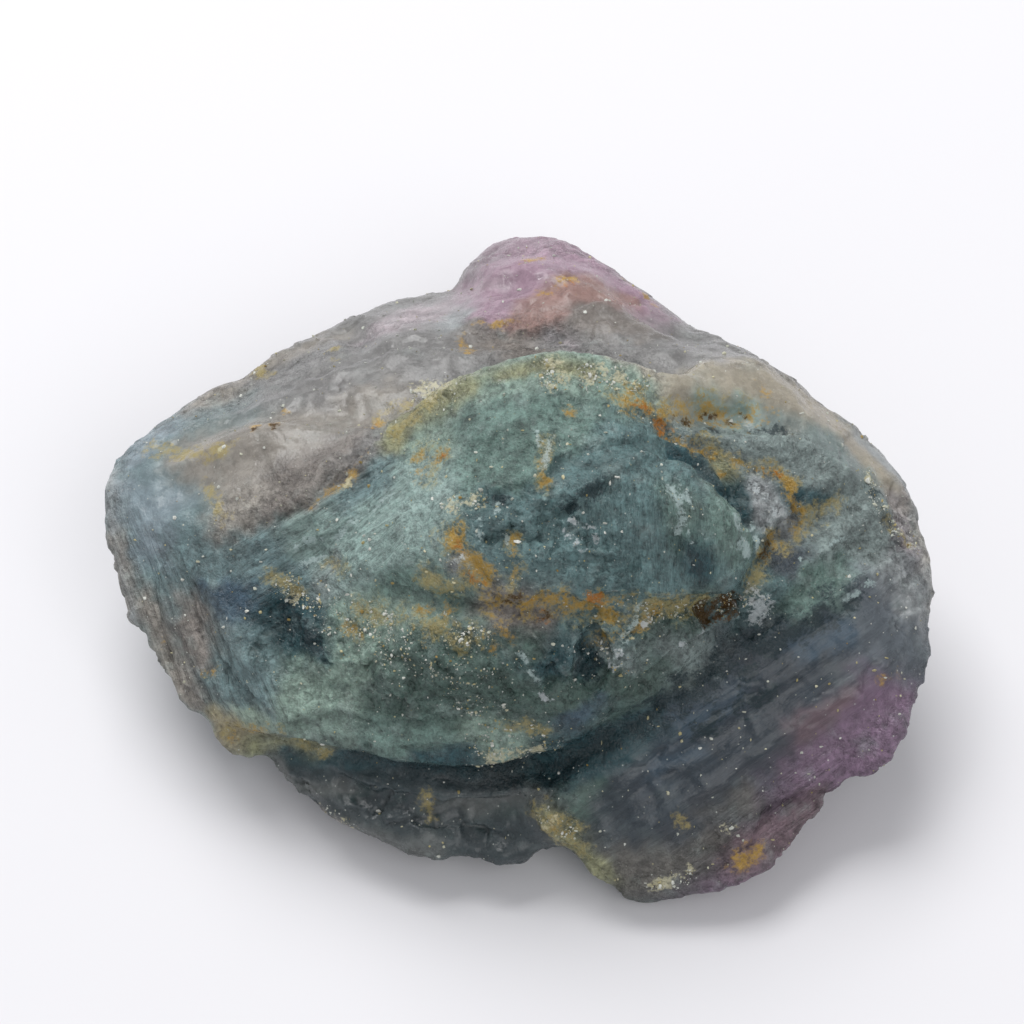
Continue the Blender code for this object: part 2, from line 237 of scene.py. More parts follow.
# Each flat face draws its tilt and its level from where its middle is, through these uneven mixes.
TILT_MIX = 2.3 * np.array([[12.9, 4.1, 7.7], [3.3, 9.2, 5.9], [7.1, 2.7, 11.3]])
LEVEL_MIX = 3.1 * np.array([5.3, 8.1, 3.7])
LEVEL_SHARE = 0.35


def facets(places, size, seed):
    """Height of the flat tilted faces of this size that a hackly break leaves, meeting in sharp ridges."""
    scaled = places / size + seed
    centres = np.array([noise.voronoi(Vector(place))[1] for place in scaled])
    tilts = np.sin(centres @ TILT_MIX)
    levels = np.sin(centres @ LEVEL_MIX)
    planes = ((scaled[:, None, :] - centres) * tilts).sum(2) + LEVEL_SHARE * levels
    return planes.min(1)


# Where each kind of break lies: half width in millimetres, and spots along its middle. A spot is a
# pixel of the photograph, or a place in millimetres where the photograph doesn't reach.
CLEAVAGE = [
    (4.2, [(600, 830), (680, 790), (760, 730), (860, 660)]), (3, [(650, 770), (760, 700), (880, 600)]),
    (3, [(700, 850), (820, 780)]),
]
LOBE_SLOPE = [(3.4, [(250, 575), (320, 535), (380, 490)]), (2.6, [(300, 560), (390, 540)])]
SWELL_FACE = [(3.6, [(640, 500), (660, 560), (720, 540)]), (2.4, [(600, 520), (745, 530)])]
LEFT_FACE = [(3.4, [(140, 540), (190, 640), (260, 710)]), (2.6, [(120, 510), (150, 640), (200, 700)])]
HACKLY = [
    (4.6, [(300, 640), (400, 680), (500, 680), (600, 650)]), (2.8, [(480, 520), (560, 520), (620, 580)]),
    (2.4, [(740, 500), (780, 520)]), (2.6, [(640, 640), (700, 620), (760, 610)]),
    (2, [(900, 500), (905, 600)]), (2.2, [(310, 790), (420, 812), (500, 820)]),
    (7, [(-20, 12, 5), (0, 20, 5), (18, 12, 6)]), (6, [(28, 0, 5), (24, -12, 3)]),
    (6, [(-26, 0, 4), (-18, -12, 2)]),
]
CLEAVAGE_GRAIN = (23.7, 17, 5)
SLOPE_GRAIN = (-10.6, -5.6, -3.5)
SWELL_GRAIN = (0, -7.5, -5)
LEFT_GRAIN = (4.5, -10.2, -4.5)

# Lines of relief: half width and height in millimetres, and spots. A step's ground stands proud on the
# left of its line as the line is walked in the photograph. A groove is sunk, and a rib stands up.
STEPS = {
    "lobe_edge": (2, 0.5, [(400, 418), (367, 447), (345, 481), (311, 508), (268, 528), (236, 545)]),
    "dome_break": (2.6, 0.45, [(496, 488), (525, 484), (546, 478), (556, 455), (590, 446), (628, 440)]),
    "dark_ledge": (1.8, 0.4, [(566, 508), (586, 492), (606, 480), (630, 464), (652, 456)]),
    "swell_arc": (2, 0.45, [(735, 512), (725, 487), (708, 458), (686, 446), (662, 438)]),
    "facet_low": (1.6, 0.3, [(546, 560), (570, 559), (598, 556)]),
    "facet_side": (1.4, 0.3, [(548, 556), (558, 534), (572, 520)]),
    "crease_lip": (1.8, 0.45, [(505, 600), (520, 606), (545, 592), (572, 598), (615, 612)]),
    "crease_left": (1.6, 0.35, [(420, 590), (455, 598), (492, 604)]),
    "front_ridge": (1.6, 0.35, [(385, 655), (420, 664), (452, 668), (484, 676)]),
    "front_terrace": (2, 0.4, [(290, 720), (340, 712), (400, 722), (450, 712)]),
    "teal_lip": (1.2, 0.3, [(404, 748), (430, 742), (465, 744)]),
    "notch_left": (1.6, 0.5, [(572, 690), (574, 664), (580, 634)]),
    "notch_right": (1.6, 0.5, [(602, 634), (612, 658), (600, 690)]),
    "under_head": (1.6, 0.4, [(616, 700), (650, 668), (690, 640), (740, 622)]),
    "facet_edge": (1.8, 0.4, [(906, 548), (865, 572), (824, 600), (787, 618), (760, 634)]),
    "shoulder_foot": (1.6, 0.35, [(790, 432), (740, 430), (700, 428)]),
    "pale_patch_left": (1.4, 0.3, [(728, 470), (737, 496), (752, 530)]),
    "right_spall": (1.4, 0.35, [(868, 468), (872, 490), (884, 512)]),
    "purple_break": (1.6, 0.45, [(752, 838), (768, 806), (800, 792), (838, 790)]),
    "wedge_corner": (1.6, 0.4, [(536, 812), (566, 838), (604, 872), (622, 892)]),
    "ledge_slab": (1.8, 0.3, [(440, 812), (480, 796), (540, 790)]),
    "ledge_diagonal": (1.6, 0.4, [(398, 822), (446, 802), (516, 794)]),
    "ledge_back": (1.6, 0.3, [(290, 776), (340, 790), (400, 792)]),
    "knob_fold": (1.6, 0.3, [(618, 330), (606, 318), (596, 322), (588, 352)]),
    "knob_brow": (1.8, 0.3, [(640, 305), (600, 300), (560, 312), (520, 330)]),
    "shelf_line": (1.8, 0.3, [(470, 352), (420, 344), (360, 362), (300, 384)]),
    "left_line": (1.6, 0.35, [(182, 560), (196, 610), (222, 660), (262, 706)]),
    "left_rim_line": (1.2, 0.25, [(132, 560), (150, 618), (176, 668), (206, 706)]),
    "slope_line": (1.4, 0.25, [(400, 512), (350, 536), (300, 560)]),
}
GROOVES = {
    "dome_crack": (0.5, 0.25, [(486, 503), (508, 500), (530, 494), (556, 486)]),
    "facet_crack": (0.4, 0.2, [(550, 557), (596, 555)]),
    "shoulder_crack": (0.8, 0.2, [(702, 429), (740, 431), (783, 429)]),
    "rust_groove": (0.7, 0.3, [(450, 530), (460, 548), (476, 566), (498, 600)]),
    "rust_groove_short": (0.5, 0.2, [(512, 548), (514, 576)]),
    "hollow": (0.8, 0.35, [(634, 412), (668, 424), (708, 416), (742, 418)]),
    "branch": (0.5, 0.2, [(734, 460), (767, 475), (786, 486), (798, 520)]),
    "cleft_floor": (0.7, 0.3, [(798, 524), (779, 538), (766, 560), (740, 596)]),
    "brown_pit": (1, 0.35, [(706, 606), (732, 600)]),
    "navy_pit": (0.8, 0.3, [(281, 606), (296, 600)]),
    "left_crack": (0.5, 0.25, [(152, 592), (162, 632), (172, 660)]),
    "wedge_scratch": (0.5, 0.15, [(560, 770), (640, 716), (720, 668)]),
    "wedge_scratch_low": (0.5, 0.15, [(640, 770), (700, 724), (760, 690)]),
    "front_crack": (0.5, 0.25, [(446, 620), (470, 640), (486, 668)]),
    "ledge_crack": (0.6, 0.15, [(330, 770), (370, 800), (384, 826)]),
    "knob_crack": (0.5, 0.2, [(490, 318), (508, 326), (534, 300)]),
    "nick": (0.5, 0.35, [(366, 748)]),
}
RIBS = {
    "crest_lip": (0.8, 0.2, [(440, 392), (487, 376), (521, 364), (561, 354), (590, 366)]),
    "swell_rib": (0.7, 0.2, [(664, 492), (672, 520), (670, 548)]),
    "swell_rib_right": (0.6, 0.2, [(734, 512), (746, 530), (748, 552)]),
    "pale_rib": (0.6, 0.2, [(684, 640), (700, 632)]),
    "slope_rib": (0.6, 0.2, [(258, 560), (300, 545), (352, 515)]),
}


# Thin edges that stand out a little farther than the solid's: half width and height, and spots.
FULLER = {
    "low_right_edge": (2.4, 0.8, [(785, 856), (767, 866), (703, 892), (650, 905)]),
    "right_corner": (2, 0.5, [(905, 700), (873, 772)]),
    "ledge_foot": (2, 0.5, [(475, 868), (522, 860)]),
    "left_rim": (2, 0.5, [(109, 500), (113, 560), (128, 620)]),
}


def side_of(places, spots):
    """1 for places on the left of a line of pixels as it is walked in the photograph, -1 on the right."""
    seen = pixels_of(places)
    side = np.ones(len(places))
    best = np.full(len(places), np.inf)
    for start, end in zip(spots, spots[1:]):
        start, along = np.array(start), np.subtract(end, start)
        share = np.clip((seen - start) @ along / (along @ along), 0, 1)
        away = seen - start - share[:, None] * along
        distance = np.linalg.norm(away, axis=1)
        closer = distance < best
        turn = away[:, 0] * along[1] - away[:, 1] * along[0]
        best[closer] = distance[closer]
        side[closer] = np.sign(turn[closer])
    return side


def striae(places, grain, length, width, seed):
    """Fine lines that run along a grain: their length and spacing in millimetres."""
    turned = places @ grain_frame(grain).T
    return swells(turned / np.array([length, width, width]), 1, seed)


def wobbles(places, size, reach, seeds):
    """A small uneven shift for each place: swells of this size and reach in millimetres, a seed an axis."""
    return reach * np.stack([swells(places, size, seed) for seed in seeds], axis=1)


# The relief adds up: flat faces of two sizes, soft swells of two sizes, striae on the smooth breaks, and
# the lines above. A height in millimetres with a second one grows by that much on the hackly parts.
HACKLY_GAIN, SMOOTH_GAIN = 1.6, 2
LARGE_FACE, LARGE_FACE_HEIGHT, LARGE_FACE_BEND = 3.4, (0.12, 0.34), 2
SMALL_FACE, SMALL_FACE_HEIGHT = 1.3, (0.05, 0.18)
BROAD_SWELL, BROAD_SWELL_HEIGHT, CLEAVED_LOSS = 2.4, 0.16, 0.6
SMALL_SWELL, SMALL_SWELL_HEIGHT = 0.9, (0.035, 0.05)
STRIA_LENGTH, STRIA_WIDTH = 7, 0.7
STRIATED = [
    (CLEAVAGE, CLEAVAGE_GRAIN, 0.1), (LOBE_SLOPE, SLOPE_GRAIN, 0.14), (SWELL_FACE, SWELL_GRAIN, 0.12),
    (LEFT_FACE, LEFT_GRAIN, 0.16),
]
STEP_EDGE = 0.18
places = mesh_places(stone.data)
normals = mesh_normals(stone.data)
hackly = eased(covered(places, HACKLY) * HACKLY_GAIN)
cleaved = eased(covered(places, CLEAVAGE) * SMOOTH_GAIN)
wobble = wobbles(places, 1.6, 0.3, (11, 23, 37))
wobbled = places + wobble
lift = (LARGE_FACE_HEIGHT[0] + LARGE_FACE_HEIGHT[1] * hackly) * facets(
    places + LARGE_FACE_BEND * wobble, LARGE_FACE, 5)
lift += (SMALL_FACE_HEIGHT[0] + SMALL_FACE_HEIGHT[1] * hackly) * facets(wobbled, SMALL_FACE, 17)
lift += BROAD_SWELL_HEIGHT * (1 - CLEAVED_LOSS * cleaved) * swells(places, BROAD_SWELL, 3)
lift += (SMALL_SWELL_HEIGHT[0] + SMALL_SWELL_HEIGHT[1] * hackly) * swells(places, SMALL_SWELL, 7)
for strokes, grain, height in STRIATED:
    lines = striae(wobbled, grain, STRIA_LENGTH, STRIA_WIDTH, 41)
    lift += height * eased(covered(places, strokes) * SMOOTH_GAIN) * lines
for half_width, height, spots in STEPS.values():
    away = distance_to(wobbled, route(spots))
    side = side_of(wobbled, spots)
    scarp = np.clip(side * away / STEP_EDGE, -1, 1)
    lift += 0.5 * height * scarp * eased(1 - away / half_width)
for half_width, depth, spots in GROOVES.values():
    lift -= depth * eased(1 - distance_to(wobbled, route(spots)) / half_width)
for half_width, height, spots in RIBS.values():
    lift += height * eased(1 - distance_to(wobbled, route(spots)) / half_width)
for half_width, height, spots in FULLER.values():
    lift += height * eased(1 - distance_to(places, route(spots)) / half_width)
set_places(stone.data, places + normals * lift[:, None])

thinned = stone.modifiers.new("thinned", "DECIMATE")
thinned.ratio = MOST_TRIANGLES / (2 * len(stone.data.polygons))
apply_modifiers(stone)


def fitted(places, box):
    """Places kept in a box in millimetres: pressed down to its height, and held at its sides and floor."""
    low, high = (np.array(corner) / MM for corner in box)
    kept = places.copy()
    kept[:, 2] = low[2] + (places[:, 2] - low[2]) * min(1, (high[2] - low[2]) / (places[:, 2].max() - low[2]))
    return np.clip(kept, low, high)


places = fitted(mesh_places(stone.data), cad_box)
set_places(stone.data, places)
skin_tree = tree_of(stone.data)

# The stone's colours: fluorite grows in bands, and each turn of its brine tints the next one, so teal,
# green, blue, grey and purple run into each other through the whole stone. Each band has its colour,
# and the strokes where it is purest: half width in millimetres, and spots as above. The deep teal is
# also painted shade in notches, pits and undercuts, and the pale veil is also painted light along the thin
# rims.
BANDS = {
    "lilac": ("#957d8b", [
        (2.2, [(480, 290), (505, 272), (545, 256), (590, 262), (625, 284), (648, 302)]),
        (1.6, [(500, 306), (530, 290)]), (3, [(0, 24, 9), (3, 22, 5)]),
    ]),
    "rose_grey": ("#8a6f69", [
        (1.4, [(535, 300), (570, 290), (596, 290)]), (1, [(610, 296), (630, 304)]), (1, [(560, 318)]),
        (1.2, [(520, 320), (545, 318)]), (2, [(6, 23, 9)]),
    ]),
    "lavender_grey": ("#777675", [
        (2.6, [(300, 376), (360, 362), (410, 356), (450, 352)]),
        (2, [(600, 345), (640, 345), (690, 355), (710, 345)]), (1.6, [(565, 340)]),
        (2, [(380, 385), (330, 392)]), (1.6, [(345, 455), (372, 436)]), (5, [(-16, 16, 8), (-8, 20, 8)]),
        (5, [(14, 17, 9), (22, 9, 9)]),
    ]),
    # Pale veil: partly milky patches in the stone, partly painted light along the thin left and right rims,
    # where light shines through them.
    "pale_veil_and_lit_rims": ("#8c9091", [
        (1.2, [(446, 312), (456, 322)]), (0.8, [(758, 490), (766, 510), (782, 522)]),
        (0.8, [(452, 562), (462, 556)]), (1, [(340, 560), (325, 578)]), (1.4, [(112, 480), (116, 500)]),
        (1.8, [(895, 590), (920, 612)]), (1.4, [(885, 560), (910, 582)]), (1.2, [(898, 504), (908, 534)]),
        (1.2, [(850, 428), (884, 460), (912, 502), (926, 545), (930, 600)]),
        (0.6, [(109, 500), (118, 560), (134, 616)]),
    ]),
    "pale_mauve": ("#a0969a", [
        (1.7, [(388, 324), (432, 312)]), (1.1, [(478, 290), (496, 281)]), (0.7, [(556, 336), (572, 344)]),
        (1.6, [(898, 504), (914, 545)]),
    ]),
    "mauve_brown": ("#736d68", [
        (2, [(480, 345), (520, 345)]), (1.8, [(640, 330), (600, 322)]),
        (2, [(280, 475), (320, 462), (350, 440)]), (1.8, [(178, 606), (200, 656)]),
        (1.4, [(508, 616), (545, 622)]), (1, [(268, 510), (300, 500)]),
    ]),
    "fawn": ("#87827b", [
        (2.2, [(200, 450), (230, 470), (262, 440), (330, 424), (370, 408)]), (1.8, [(230, 520), (245, 500)]),
        (1.4, [(340, 398), (385, 396)]), (1.3, [(196, 396), (270, 364), (340, 338)]),
        (1, [(148, 600), (168, 650), (196, 696)]), (1, [(112, 540), (130, 606)]),
        (0.6, [(318, 818), (340, 828)]), (1, [(930, 560), (930, 600)]),
    ]),
    "tip_blue": ("#7d8a91", [
        (2, [(124, 496), (152, 506)]), (1.6, [(136, 452), (156, 432)]), (1.8, [(150, 535), (168, 552)]),
    ]),
    "slate_blue": ("#657a7c", [
        (2.4, [(182, 556), (215, 550)]), (2.2, [(238, 676), (262, 690)]), (1, [(160, 580), (176, 610)]),
        (1.8, [(260, 556), (290, 572)]), (1.6, [(352, 500), (380, 474)]), (5, [(-28, 2, 5), (-22, -8, 4)]),
        (4, [(-20, 10, 4), (-14, 14, 3)]),
    ]),
    "slope_teal": ("#889d98", [
        (2, [(315, 540), (360, 520), (400, 500)]), (1.3, [(330, 572), (372, 552)]),
        (1.4, [(398, 560), (420, 540)]), (1.4, [(430, 470), (445, 500)]), (1.4, [(700, 394), (740, 408)]),
    ]),
    "teal": ("#637a73", [
        (2.4, [(470, 424), (500, 408), (540, 420)]), (2, [(480, 470), (520, 456)]),
        (1.6, [(540, 440), (570, 420)]), (1.6, [(400, 580), (430, 566)]), (1.6, [(440, 590)]),
        (1.4, [(800, 598), (840, 572)]), (1.8, [(395, 735), (425, 728)]), (5, [(-4, 16, 3), (6, 15, 2)]),
        (1.6, [(590, 410), (560, 396)]), (1, [(672, 500), (684, 540)]), (1.2, [(738, 512), (752, 540)]),
        (1.2, [(560, 430), (575, 445)]),
    ]),
    "slate": ("#576f70", [
        (2.2, [(500, 510), (560, 500), (600, 470)]), (2, [(630, 440), (650, 450)]),
        (1.8, [(470, 530), (520, 545)]), (2, [(600, 560), (640, 590), (600, 590)]),
        (1.8, [(640, 500), (630, 530)]), (1.6, [(560, 630), (590, 622)]), (1.4, [(740, 590), (770, 590)]),
        (6, [(0, 4, 0), (10, -4, 0)]),
    ]),
    # Deep teal: partly a dark band in the stone, partly painted shade in the notches, pits and the undercut
    # over the front ledge.
    "deep_teal_and_shade": ("#26454b", [
        (1.5, [(275, 606), (300, 628), (322, 654)]), (1.2, [(676, 458), (706, 474), (730, 502)]),
        (1.5, [(552, 766), (600, 764), (644, 738)]), (0.8, [(416, 752), (460, 755)]),
        (0.8, [(794, 494), (828, 493)]), (1, [(584, 644), (590, 672)]),
        (1, [(290, 756), (400, 770), (470, 772)]), (1, [(548, 664), (566, 650)]),
        (0.8, [(500, 655), (520, 668)]), (0.9, [(684, 540), (694, 566)]), (4, [(8, 18, 5), (14, 13, 4)]),
    ]),
    "navy": ("#3c4f5d", [
        (1.3, [(205, 592), (240, 600)]), (1.4, [(690, 728), (740, 700)]), (1.2, [(660, 772), (700, 752)]),
        (1.2, [(800, 652), (850, 632)]), (1, [(600, 700), (572, 716)]), (3, [(-24, 6, 5), (-20, 2, 2)]),
    ]),
    "sage": ("#81958a", [
        (2, [(288, 696), (325, 684), (352, 664)]), (0.9, [(350, 615), (420, 612)]),
        (0.8, [(470, 732), (505, 740)]), (1.2, [(600, 388), (655, 392)]),
        (1.4, [(480, 392), (545, 380), (580, 384)]), (1.2, [(425, 440), (445, 452)]),
        (1, [(250, 722), (290, 735)]),
    ]),
    "bottle": ("#4b5f58", [
        (2, [(440, 690), (480, 670), (510, 660)]), (1.8, [(380, 690), (415, 705)]),
        (1.6, [(460, 650), (440, 655)]), (1.2, [(500, 660), (530, 655)]),
        (1.8, [(560, 700), (600, 690), (650, 660)]), (1.4, [(680, 620), (650, 620)]),
        (1.4, [(525, 445), (520, 430)]), (1.4, [(600, 790), (580, 800)]), (4, [(0, -18, 2), (8, -18, 2)]),
    ]),
    "crest_sage": ("#898a6d", [
        (1.5, [(400, 434), (438, 402), (466, 388)]), (0.6, [(500, 376), (545, 366), (590, 372)]),
        (0.8, [(262, 744), (320, 750)]), (0.9, [(546, 822), (580, 846), (604, 872)]),
        (0.8, [(725, 474), (720, 462)]),
    ]),
    "shoulder": ("#968f81", [
        (2, [(670, 384), (740, 380), (800, 398), (842, 428)]), (1.6, [(850, 440), (886, 474), (908, 520)]),
        (1, [(924, 530), (930, 560)]),
    ]),
    "right_teal": ("#75817f", [
        (2.2, [(750, 444), (800, 450), (850, 460)]), (2, [(840, 508), (880, 530)]),
        (1.4, [(820, 470), (870, 500)]), (1.6, [(830, 560), (870, 548)]), (1.2, [(700, 442), (740, 452)]),
        (1.6, [(660, 650), (690, 655)]), (1.1, [(606, 655), (636, 668)]),
    ]),
    "wedge_grey": ("#363e45", [
        (2.6, [(640, 810), (700, 770), (760, 735), (800, 700)]), (2.4, [(700, 740), (760, 690), (820, 660)]),
        (2, [(610, 800), (640, 780)]), (1, [(790, 562), (808, 553)]), (2, [(680, 840), (720, 800)]),
        (4, [(20, -16, 2), (24, -8, 3)]),
    ]),
    "wedge_fawn": ("#5d5b57", [(1.6, [(630, 866), (680, 856), (716, 840)]), (1.3, [(700, 816), (740, 800)])]),
    "edge_slate": ("#585f65", [
        (2, [(868, 602), (905, 630)]), (1.4, [(890, 590), (870, 630)]), (4, [(30, -2, 8), (29, -8, 6)]),
    ]),
    "purple": ("#746073", [
        (2, [(815, 760), (850, 740), (885, 706)]), (1.6, [(895, 720), (870, 770)]),
        (1.4, [(820, 780), (850, 770)]), (3.4, [(24, -17, 3), (16, -21, 1.5)]),
    ]),
    "mauve": ("#6b5a60", [
        (1.8, [(770, 835), (800, 818), (830, 800)]), (1.4, [(740, 856), (765, 842)]),
        (1.6, [(800, 730), (840, 705)]),
    ]),
    "ledge_dark": ("#3b4346", [
        (1.4, [(470, 842), (510, 846), (535, 836)]), (1.4, [(350, 800), (400, 818), (450, 815)]),
        (1.2, [(300, 765), (420, 778), (520, 784)]), (1, [(300, 800), (330, 815)]),
        (1.8, [(490, 850), (525, 852), (546, 842)]), (4, [(-12, -14, 2), (0, -18, 2)]),
    ]),
    "ledge_pale": ("#5c605f", [
        (1, [(280, 776), (305, 786), (350, 796)]), (0.8, [(440, 806), (490, 798), (540, 796)]),
        (1, [(350, 827), (385, 838), (430, 850)]), (0.8, [(430, 812), (480, 804)]),
    ]),
    "amber": ("#978f74", [(1.2, [(228, 738), (256, 730)]), (0.7, [(214, 716), (222, 726)])]),
}
BAND_FADE = 1.8
BAND_CORE = 0.18

wobble = wobbles(places, 3.4, 1.3, (51, 63, 77)) + wobbles(places, 1.2, 0.9, (52, 64, 78))
wobble += wobbles(places, 0.5, 0.4, (53, 65, 79))


CLOUD_SMOOTHNESS, CLOUD_STEP, CLOUD_STEPS = 0.55, 2.0, 5


def clouds(places, size, seed):
    """Ragged unevenness at each place, with the largest swells of this size in millimetres: 0 on average,
    and mostly between -1 and 1."""
    steps = CLOUD_SMOOTHNESS, CLOUD_STEP, CLOUD_STEPS
    values = np.array([noise.fractal(Vector(place), *steps) for place in places / size + seed])
    return (values - values.mean()) / values.std()


def linear(hex_colour):
    """An sRGB hex colour as the linear values that nodes take."""
    parts = [int(hex_colour[i:i + 2], 16) / 255 for i in (1, 3, 5)]
    return [part / 12.92 if part <= 0.04045 else ((part + 0.055) / 1.055) ** 2.4 for part in parts] + [1]


band_colours = np.zeros((len(places), 4))
band_weights = np.full(len(places), TINY)
for hex_colour, strokes in BANDS.values():
    for half_width, spots in strokes:
        away = distance_to(places + wobble * min(1, half_width / 2), route(spots)) / half_width
        weight = np.exp(-BAND_FADE * away) / (BAND_CORE + away ** 2)
        band_colours += weight[:, None] * np.array(linear(hex_colour))
        band_weights += weight
band_colours /= band_weights[:, None]

